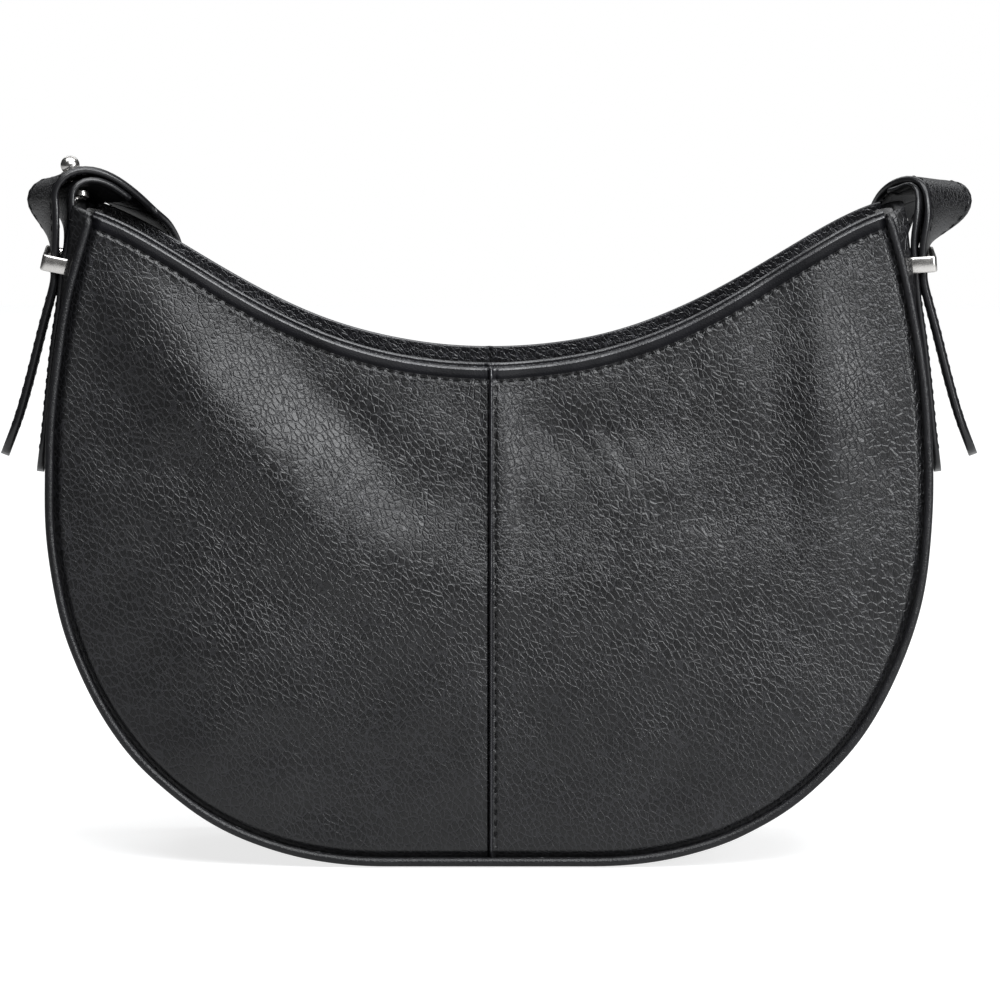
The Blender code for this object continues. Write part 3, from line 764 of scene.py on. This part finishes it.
def piping_cord(where, centres, sides=14):
    """A round cord with domed ends along a run of points in a plane of constant y."""
    ahead = np.gradient(centres, axis=0)
    ahead /= np.linalg.norm(ahead, axis=1)[:, None]
    up = np.tile([0.0, 1.0, 0.0], (len(centres), 1))
    out = np.cross(ahead, up)
    radii = np.full(len(centres), PIPING_R)
    radii[[0, -1]] *= 0.35
    radii[[1, -2]] *= 0.8
    turn = np.linspace(0, 2 * math.pi, sides, endpoint=False)
    ring = out[:, None] * np.cos(turn)[None, :, None] + up[:, None] * np.sin(turn)[None, :, None]
    points = (centres[:, None] + ring * radii[:, None, None]).reshape(-1, 3)
    obj = mesh_object(f"piping_cord_{where}", points, tube_faces(len(centres), sides), [SMOOTH])
    finish_piece(obj, "bag", "smooth_leather", f"piping_{where}")


def piping():
    runs = full_outline(620)
    x, z, nx, nz = (runs[:, k] for k in range(4))
    wander = 0.10 * MM * waves(x, z, 31, 26 * MM)
    for face, where in WALLS:
        inset = PIPING_R + 0.05 * MM + wander * smoothstep(2 * MM, 9 * MM, z)
        centres = np.stack([x - nx * inset, face * (half_depth(z) + 0.15 * MM), z - nz * inset], axis=1)
        piping_cord(where, centres)


def lining():
    us = np.linspace(0, 1, 60)
    vs = np.linspace(0, FACING_FROM - 0.01, 60)
    for face, where in WALLS:
        x, z = panel_xz(us, vs, 2.4 * MM)[:2]
        x = np.concatenate([-np.flip(x, 0)[:-1], x])
        z = np.concatenate([np.flip(z, 0)[:-1], z])
        loose = 0.10 * MM * waves(x, z, 41 + face, 30 * MM)
        y = half_depth(z) - 3.1 * MM + loose

        def layer(offset):
            return np.stack([x, face * (y - offset), z], axis=-1)

        obj = closed_shell(f"lining_wall_{where}", layer(0), layer(0.8 * MM), [CLOTH], flip=face > 0)
        finish_piece(obj, "bag", "lining_cloth", f"lining_{where}")
    sizes = (2.9 * MM, 0.8 * MM, 5.1 * MM)
    gusset_strip("lining_strip", *sizes, CLOTH, "lining_cloth", "lining_gusset", rows=200, across=12)


# ---------------------------------------------------------------- strap, tabs and tails

# Routes of the strap's middle line from the keeper over the top corner to the lowest point behind the bag:
# x, y, z in mm, then the turn and the dip of its width in degrees
LEFT_ROUTE = [
    (-122.5, 0, 166, 0, 0), (-122.6, 0, 171, 2, 0), (-123.8, 0, 177.0, 12, 1), (-125.2, 0.4, 181.6, 21, 3),
    (-126.3, 0.8, 185.6, 28, 9), (-123.4, 1.4, 189.3, 28, 15), (-118.3, 2.4, 191.1, 27, 17),
    (-111.8, 4.8, 189.5, 27, 15), (-105.8, 8.2, 185.8, 27, 9), (-101.3, 13.5, 181.4, 27, 4),
    (-97.8, 21, 177.4, 29, 0), (-94.5, 29, 171.0, 30, 0), (-89.5, 36.5, 157, 26, 0),
    (-78, 44.5, 130, 20, 0), (-62, 51, 90, 12, 0), (-40, 55.5, 52, 8, 0), (-20, 57.6, 32, 4, 0),
    (0, 58, 26, 0, 0),
]
RIGHT_ROUTE = [
    (122.5, 0, 166, 0, 0), (122.7, 0, 170.5, -3, 0), (123.8, 0, 173.6, -10, 0), (126.2, 0.2, 177.4, -22, 1),
    (128.5, 0.8, 182.2, -34, 3), (129.0, 2.8, 186.4, -39, 6), (126.4, 6.8, 188.6, -41, 9),
    (123.0, 11.2, 188.0, -41, 8), (120.1, 16.6, 185.9, -40, 6), (117.7, 23.3, 182.3, -38, 3),
    (115.4, 30.0, 177, -34, 0), (110.5, 34.5, 162.5, -30, 0), (98, 41, 138, -24, 0),
    (82, 46.5, 112, -18, 0), (62, 51.5, 82, -12, 0), (40, 55.5, 52, -8, 0), (20, 57.6, 32, -4, 0),
    (0, 58, 26, 0, 0),
]
ROUTES = {-1: LEFT_ROUTE, 1: RIGHT_ROUTE}
# Where the leather would start and end to bend as the strap swings (no bend is made from these), and where
# the part that only swings begins
SWING = {-1: ((-126, 0, 177), (-117.5, 1.5, 188.5)), 1: ((128, 0, 176.5), (122, 2, 186))}
SWUNG = {-1: (-102.5, 12, 182.5), 1: (117.7, 23.3, 182.3)}


def smooth_path(points, spacing):
    """An even run of points on a smooth curve through the route, in metres and degrees."""
    pts = [np.array(p, float) for p in points]
    pts = [pts[0] * 2 - pts[1]] + pts + [pts[-1] * 2 - pts[-2]]
    dense = []
    for k in range(1, len(pts) - 2):
        a, b, c, d = pts[k - 1: k + 3]
        for s in np.linspace(0, 1, 24, endpoint=False):
            dense.append(0.5 * (2 * b + (c - a) * s + (2 * a - 5 * b + 4 * c - d) * s * s
                                + (3 * b - a - 3 * c + d) * s**3))
    dense = np.array(dense + [pts[-2]])
    dense[:, :3] *= MM
    length = arc_length(dense[:, :3])
    even = np.linspace(0, length[-1], int(length[-1] / spacing) + 1)
    return relaxed(sampled(even, length, dense))


def relaxed(run, passes=2):
    """Evens out small kinks without moving the ends."""
    for _ in range(passes):
        run[1:-1] = 0.25 * run[:-2] + 0.5 * run[1:-1] + 0.25 * run[2:]
    return run


def strip_frames(run):
    """Centres, width directions and face directions along a run of places, turns and dips."""
    centres = run[:, :3]
    ahead = np.gradient(centres, axis=0)
    ahead /= np.linalg.norm(ahead, axis=1)[:, None]
    yaw, dip = np.radians(run[:, 3]), np.radians(run[:, 4])
    across = np.stack([-np.sin(yaw) * np.cos(dip), np.cos(yaw) * np.cos(dip), -np.sin(dip)], axis=1)
    across -= ahead * (across * ahead).sum(axis=1)[:, None]
    across /= np.linalg.norm(across, axis=1)[:, None]
    across = relaxed(across.copy(), 4)
    across /= np.linalg.norm(across, axis=1)[:, None]
    face = np.cross(ahead, across)
    face /= np.linalg.norm(face, axis=1)[:, None]
    return centres, across, face


def strap_section(width, thick):
    """Section of a two-layer strap: rounded edges, a stitched dip near each edge and a slight crown."""
    half, t = width / 2, thick / 2
    flat = np.concatenate([
        np.linspace(-half + t, -half + EDGE_LINE + 1.2 * MM, 9),
        np.linspace(-half + EDGE_LINE + 1.8 * MM, half - EDGE_LINE - 1.8 * MM, 9),
        np.linspace(half - EDGE_LINE - 1.2 * MM, half - t, 9),
    ])
    near = half - np.abs(flat)
    dip = hill(near, EDGE_LINE, 0.55 * MM)
    crown = 0.16 * MM * (smoothstep(EDGE_LINE, EDGE_LINE + 3 * MM, near) - dip)
    top = [(a, t + c) for a, c in zip(flat, crown)]
    turn = [math.radians(d) for d in (67, 45, 22, 0, -22, -45, -67)]
    right = [(half - t + t * math.cos(a), t * math.sin(a)) for a in turn]
    low = [(a, -t - c) for a, c in zip(flat[::-1], crown[::-1])]
    left = [(-half + t - t * math.cos(a), -t * math.sin(a)) for a in turn]
    kinds = [0] * (len(top) - 1) + [1] * (len(right) + 1) + [0] * (len(low) - 1) + [1] * (len(left) + 1)
    return np.array(top + right + low + left), kinds


def strip(name, run, thick, tip=None, root=None, inner=0, part=slice(None)):
    """A leather strip along a route; its darker inner face is the one along inner times the face direction.

    tip and root are how far from its end and its start it begins to narrow to a round point; part keeps only
    some of its sections.
    """
    centres, across, face = strip_frames(run)
    section, kinds = strap_section(STRAP_W, thick)
    length = arc_length(centres)
    scale = np.ones(len(centres))
    for reach, left in ((tip, length[-1] - length), (root, length)):
        if reach:
            share = np.clip(left / reach, 0, 1)
            scale = np.minimum(scale, 0.12 + 0.88 * np.sqrt(1 - (1 - share) ** 2))
    centres, across, face, scale = (data[part] for data in (centres, across, face, scale))
    points = centres[:, None] + across[:, None] * (section[None, :, :1] * scale[:, None, None])
    points = points + face[:, None] * section[None, :, 1:]
    rows, cols = len(centres), len(section)
    if inner:
        kinds = [2 if kind == 0 and (k < cols // 2) == (inner > 0) else kind for k, kind in enumerate(kinds)]
    mats = [STRAP, EDGE, INNER]
    kinds = kinds * (rows - 1) + [1, 1]
    obj = mesh_object(name, points.reshape(-1, 3), tube_faces(rows, cols), mats, kinds)
    return obj, (centres, across, face, scale)


def strip_stitches(name, data, thick, body, first, last, faces):
    """Stitch lines along both edges of a strip, on its outer face, its inner face, or both."""
    centres, across, face, scale = data
    for up in faces:
        for edge in (-1, 1):
            reach = edge * (STRAP_W / 2 - EDGE_LINE)
            line = centres + across * (reach * scale[:, None]) + face * (up * (thick / 2 - 0.1 * MM))
            label = f"{name}_{'outer' if up > 0 else 'inner'}_{'near' if edge < 0 else 'far'}"
            stitches(label, line[first:last], up * face[first:last], body, radius=0.22 * MM)


def shoulder_strap():
    """The strap: on each side a part that bends over the top corner, then a half that swings as it is."""
    for side, hand in SIDES:
        run = smooth_path(ROUTES[side], 1.6 * MM)
        cut = int(np.argmin(np.linalg.norm(run[:, :3] - np.array(SWUNG[side]) * MM, axis=1)))
        bend = ("bag", "strap", *(Vector(p) * MM for p in SWING[side]))
        obj, data = strip(f"strap_bend_{hand}", run, STRAP_T, inner=side, part=slice(0, cut + 1))
        finish_piece(obj, bend, "smooth_leather", f"strap_end_{hand}")
        strip_stitches(f"bend_stitches_{hand}", data, STRAP_T, bend, 6, None, (-1, 1))
        obj, data = strip(f"strap_half_{hand}", run, STRAP_T, inner=side, part=slice(cut, None))
        finish_piece(obj, "strap", "smooth_leather", *(["shoulder_strap"] if side < 0 else []))
        strip_stitches(f"half_stitches_{hand}", data, STRAP_T, "strap", 0, -1, (-1, 1))


def upright(side, places):
    """Route points in the plane of the bag's middle, from x outwards, z and turn."""
    return [(side * x, 0, z, -side * turn, 0) for x, z, turn in places]


def tabs():
    """Inner tab on each end: sewn on the gusset, up through the keeper and over at the top corner."""
    over = {
        -1: [(-120.2, 0.4, 183.6, 17, 5), (-121.0, 0.8, 186.2, 25, 11), (-117.9, 1.8, 188.7, 27, 16),
             (-112.4, 4.2, 187.3, 27, 15), (-107.0, 7.2, 184.0, 27, 10)],
        1: [(124.4, 0.6, 181.2, -28, 3), (126.2, 2.6, 184.2, -38, 6), (124.4, 6.6, 185.9, -41, 8),
            (121.4, 10.8, 185.4, -41, 8)],
    }
    bend = {-1: [(119.1, 172, 1), (118.8, 178.0, 8)], 1: [(120.2, 172, 3), (122.4, 177.4, 18)]}
    for side, hand in SIDES:
        foot = upright(side, [(127.0, 107.5, 0), (125.4, 120, 0), (124.2, 132, 0), (122.7, 145, 0)])
        neck = upright(side, [(121.1, 156, 0), (120.3, 165, 0), *bend[side]])
        run = smooth_path(foot + neck + over[side], 1.6 * MM)
        obj, data = strip(f"tab_leather_{hand}", run, TAB_T, root=9 * MM, inner=side)
        swing = ("bag", "strap", *(Vector(p) * MM for p in SWING[side]))
        finish_piece(obj, swing, "smooth_leather", f"strap_tab_{hand}", f"tab_loop_{hand}")
        out = 1 if (data[2][8, 0] * side) > 0 else -1
        strip_stitches(f"tab_stitches_{hand}", data, TAB_T, "bag", 4, 34, (out,))


def tails():
    """Free ends of the strap, which bend just below the keepers."""
    for side, hand in SIDES:
        places = [(122.5, 166, 0), (122.6, 161.8, 0), (126.0, 149, 0), (129.8, 134, 0), (133.0, 123, 0)]
        run = smooth_path(upright(side, places + [(137, 112.3, 0)]), 1.4 * MM)
        obj, data = strip(f"tail_leather_{hand}", run, STRAP_T, tip=11 * MM)
        start = Vector((side * 122.6 * MM, 0, 164.5 * MM))
        end = Vector((side * 122.9 * MM, 0, 158 * MM))
        bend = ("bag", f"tail_{hand}", start, end)
        finish_piece(obj, bend, "smooth_leather", f"strap_tail_{hand}")
        strip_stitches(f"tail_stitches_{hand}", data, STRAP_T, bend, 5, -6, (-1, 1))


# ---------------------------------------------------------------- metal parts

def keepers():
    """Flat rectangular loops with a rounded bar, tilted a little as they hang on the strap."""
    for side, hand, tilt in ((-1, "left", 12), (1, "right", 4)):
        low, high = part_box(f"keeper_{hand}")
        middle = (low + high) / 2 - Vector((0, 0, 0.5 * MM))
        half_x, half_y = (high.x - low.x) / 2, (high.y - low.y) / 2
        tall = (high.z - low.z) / 2
        bar, corner = 1.05 * MM, 1.2 * MM
        turn = np.linspace(0, math.pi / 2, 6)
        loop = []
        for cx, cy, a0 in ((1, 1, 0), (-1, 1, 90), (-1, -1, 180), (1, -1, 270)):
            for a in turn + math.radians(a0):
                x = cx * (half_x - corner) + corner * math.cos(a)
                y = cy * (half_y - corner) + corner * math.sin(a)
                loop.append((x, y, math.cos(a), math.sin(a)))
        ring = [(0, tall - 0.5 * MM), (-0.15 * MM, tall - 0.15 * MM), (-0.45 * MM, tall)]
        ring += [(-bar + 0.3 * MM, tall), (-bar, tall - 0.3 * MM)]
        ring += [(a, -b) for a, b in ring[::-1]]
        lean = math.radians(tilt) * -side
        points = []
        for x, y, nx, ny in loop:
            for out, up in ring:
                px, pz = x + nx * out, up
                wx = px * math.cos(lean) + pz * math.sin(lean)
                wz = -px * math.sin(lean) + pz * math.cos(lean)
                points.append((middle.x + wx, middle.y + y + ny * out, middle.z + wz))
        faces = grid_faces(len(loop), len(ring), wrap=True, loop=True)
        obj = mesh_object(f"keeper_loop_{hand}", points, faces, [NICKEL])
        obj.data.set_sharp_from_angle(angle=math.radians(50))
        finish_piece(obj, f"keeper_{hand}", "polished_nickel", f"keeper_{hand}")


def turned(name, profile, base, axis, mat, sides=40):
    """A turned piece: profile of (radius, height) along an axis from a base point."""
    axis = Vector(axis).normalized()
    side = axis.orthogonal().normalized()
    other = axis.cross(side)
    points = []
    for r, h in profile:
        for k in range(sides):
            a = 2 * math.pi * k / sides
            points.append(Vector(base) + axis * h + (side * math.cos(a) + other * math.sin(a)) * r)
    obj = mesh_object(name, points, tube_faces(len(profile), sides, flip=True), [mat])
    obj.data.set_sharp_from_angle(angle=math.radians(40))
    return obj


def stud_axis(hand):
    """A stud's screw centre, the direction from it to the stud's middle, and the stud's reach that way."""
    screw = sum(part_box(f"stud_screw_{hand}"), Vector()) / 2
    verts = np.array([v.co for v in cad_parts[f"ball_stud_{hand}"].data.vertices])
    axis = (Vector(verts.mean(0)) - screw).normalized()
    return screw, axis, max((Vector(v) - screw).dot(axis) for v in verts)


BALL_R = 2.7 * MM
SHANK_R = 1.2 * MM
STUD_LEAN = {"left": Vector((-1.2, 0, -0.3)) * MM, "right": Vector()}  # the ball one way, the screw the other


def studs():
    """Ball on the strap's outer face and screw under the tab, on one axis."""
    for hand, lean in STUD_LEAN.items():
        screw, axis, reach = stud_axis(hand)
        centre = reach - BALL_R
        turns = np.linspace(0.62, math.pi - 0.02, 18)
        arc = [(BALL_R * math.sin(a), centre - BALL_R * math.cos(a)) for a in turns]
        neck = [(2.5, -2.60), (2.6, -2.45), (2.5, -2.25), (1.75, -2.15), (1.6, -2.1)]
        profile = [(SHANK_R, 0.2 * MM), (SHANK_R, centre - BALL_R)]
        profile += [(r * MM, centre + h * MM) for r, h in neck] + arc
        obj = turned(f"ball_head_{hand}", profile, screw + lean, axis, NICKEL)
        finish_piece(obj, "strap", "polished_nickel", f"ball_stud_{hand}")
        slot = [(0.5, -0.45), (1.6, -0.45), (1.7, -0.9)]
        rim = [(2.2, -0.9), (2.7, -0.7), (2.8, -0.3), (2.8, 0.7), (2.6, 0.9)]
        head = [(r * MM, h * MM) for r, h in slot + rim]
        obj = turned(f"screw_head_{hand}", head, screw - lean, axis, NICKEL)
        finish_piece(obj, "strap", "polished_nickel", f"stud_screw_{hand}")


def carried_over():
    """CAD nodes that stay as they are get the finished materials."""
    finishes = {
        "base_stiffener": BOARD, "zip_pocket_pouch": CLOTH, "slip_pocket": CLOTH,
        "zip_tape_upper": TAPE, "zip_tape_lower": TAPE, "zip_teeth": NICKEL,
        "zip_slider": NICKEL, "zip_pull": NICKEL,
        "magnetic_snap_front": NICKEL, "magnetic_snap_rear": NICKEL,
    }
    for name, mat in finishes.items():
        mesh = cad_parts[name].data
        mesh.materials.clear()
        mesh.materials.append(mat)


# ---------------------------------------------------------------- stage, light and camera

def ray_switch(tree, lighting, seen):
    """A value that is one thing for lighting the bag and another where the camera sees the stage itself."""
    path = tree.nodes.new("ShaderNodeLightPath")
    pick = tree.nodes.new("ShaderNodeMix")
    pick.data_type = "FLOAT"
    pick.inputs[2].default_value = lighting
    pick.inputs[3].default_value = seen
    tree.links.new(path.outputs["Is Camera Ray"], pick.inputs[0])
    return pick.outputs[0]


def stage():
    """Pale floor and a white studio round the bag."""
    floor_mat = principled("pale_floor", (0.40, 0.40, 0.40), 0.95)
    shader = floor_mat.node_tree.nodes["Principled BSDF"]
    shader.inputs["Emission Color"].default_value = (1, 1, 1, 1)
    glow = ray_switch(floor_mat.node_tree, 0.14, 0.78)
    floor_mat.node_tree.links.new(glow, shader.inputs["Emission Strength"])
    mesh = bpy.data.meshes.new("floor")
    reach = 1.4
    mesh.from_pydata([(-reach, -reach, 0), (reach, -reach, 0), (reach, reach, 0), (-reach, reach, 0)], [],
                     [(0, 1, 2, 3)])
    floor = add_object("floor", mesh, [floor_mat])
    floor.location.z = -0.3 * MM

    world = bpy.data.worlds.new("studio")
    bpy.context.scene.world = world
    world.use_nodes = True
    tree = world.node_tree
    back = tree.nodes["Background"]
    tree.links.new(ray_switch(tree, 0.04, 1.0), back.inputs["Strength"])
    back.inputs["Color"].default_value = (1, 1, 1, 1)


def softbox(name, azimuth, height, distance, size, radiance):
    """An area light facing the bag; azimuth 0 is in front, positive to the right, in degrees."""
    light = bpy.data.lights.new(name, "AREA")
    light.shape = "RECTANGLE"
    light.size, light.size_y = size
    light.energy = radiance * math.pi * size[0] * size[1]
    light.color = (0.97, 0.985, 1.0)
    obj = bpy.data.objects.new(name, light)
    turn, rise = math.radians(azimuth), math.radians(height)
    away = Vector((math.sin(turn) * math.cos(rise), -math.cos(turn) * math.cos(rise), math.sin(rise)))
    middle = Vector((0, 0, 0.10))
    obj.location = middle + away * distance
    obj.rotation_euler = (-away).to_track_quat("-Z", "Y").to_euler()
    bpy.context.scene.collection.objects.link(obj)


def lights():
    softbox("front_top", 18, 45, 1.25, (0.9, 0.50), 11.5)
    softbox("right", 48, 20, 1.3, (0.30, 0.6), 17.8)
    softbox("overhead", 0, 84, 1.1, (1.5, 0.7), 4.5)
    softbox("behind", 180, 35, 1.5, (1.6, 0.7), 1.6)


SPAN = 280 * MM  # width of the view at the bag


def camera():
    """In front of the bag and a little above its middle."""
    cam = bpy.data.cameras.new("camera")
    obj = bpy.data.objects.new("camera", cam)
    distance, rise = 3.2, math.radians(7.3)
    cam.sensor_width = 36
    cam.lens = cam.sensor_width * distance / SPAN
    target = Vector((3.1 * MM, -37 * MM, 103.9 * MM))
    obj.location = target + Vector((0, -math.cos(rise), math.sin(rise))) * distance
    obj.rotation_euler = (target - obj.location).to_track_quat("-Z", "Y").to_euler()
    bpy.context.scene.collection.objects.link(obj)
    bpy.context.scene.camera = obj
    bpy.context.scene.view_settings.view_transform = "Standard"


panels()
facings()
gusset_surface = gusset_strip(
    "gusset_skin", 0, PANEL_T, PIPING_R + 0.2 * MM, PEBBLED, "pebbled_leather", "gusset", hem=0.5 * MM
)[1]
hem_stitches(gusset_surface, "left", True)
hem_stitches(gusset_surface, "right", False)
piping()
lining()
shoulder_strap()
tabs()
tails()
keepers()
studs()
carried_over()
stage()
lights()
camera()
